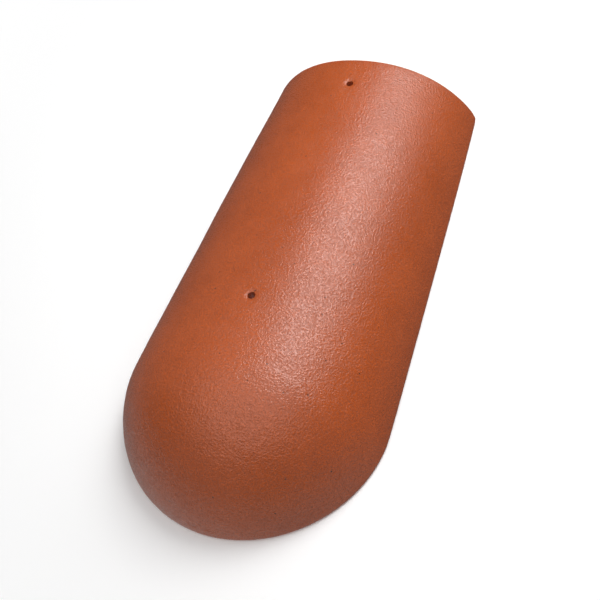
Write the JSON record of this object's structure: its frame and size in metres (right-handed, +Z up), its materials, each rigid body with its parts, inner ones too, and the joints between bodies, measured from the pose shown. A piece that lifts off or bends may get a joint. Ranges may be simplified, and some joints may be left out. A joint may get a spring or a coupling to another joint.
{
  "type": "ridge end tile",
  "caption": "Tapering half-round roof ridge tile of coated concrete, closed by a rounded dome at its wide end and open at its lap end, to start a ridge or hip.",
  "frame": {"origin": "middle of the rectangle that the tile's rim stands on, at the level of the rim's underside", "axes": "+Z up from the rim to the crown, +Y along the length from the dome to the open lap end, +X across the width"},
  "size_m": [0.2354, 0.45, 0.089],
  "materials": {
    "coated_concrete": "satin"
  },
  "bodies": {
    "root": {"ridge_end_tile": "coated_concrete"}
  },
  "joints": []
}
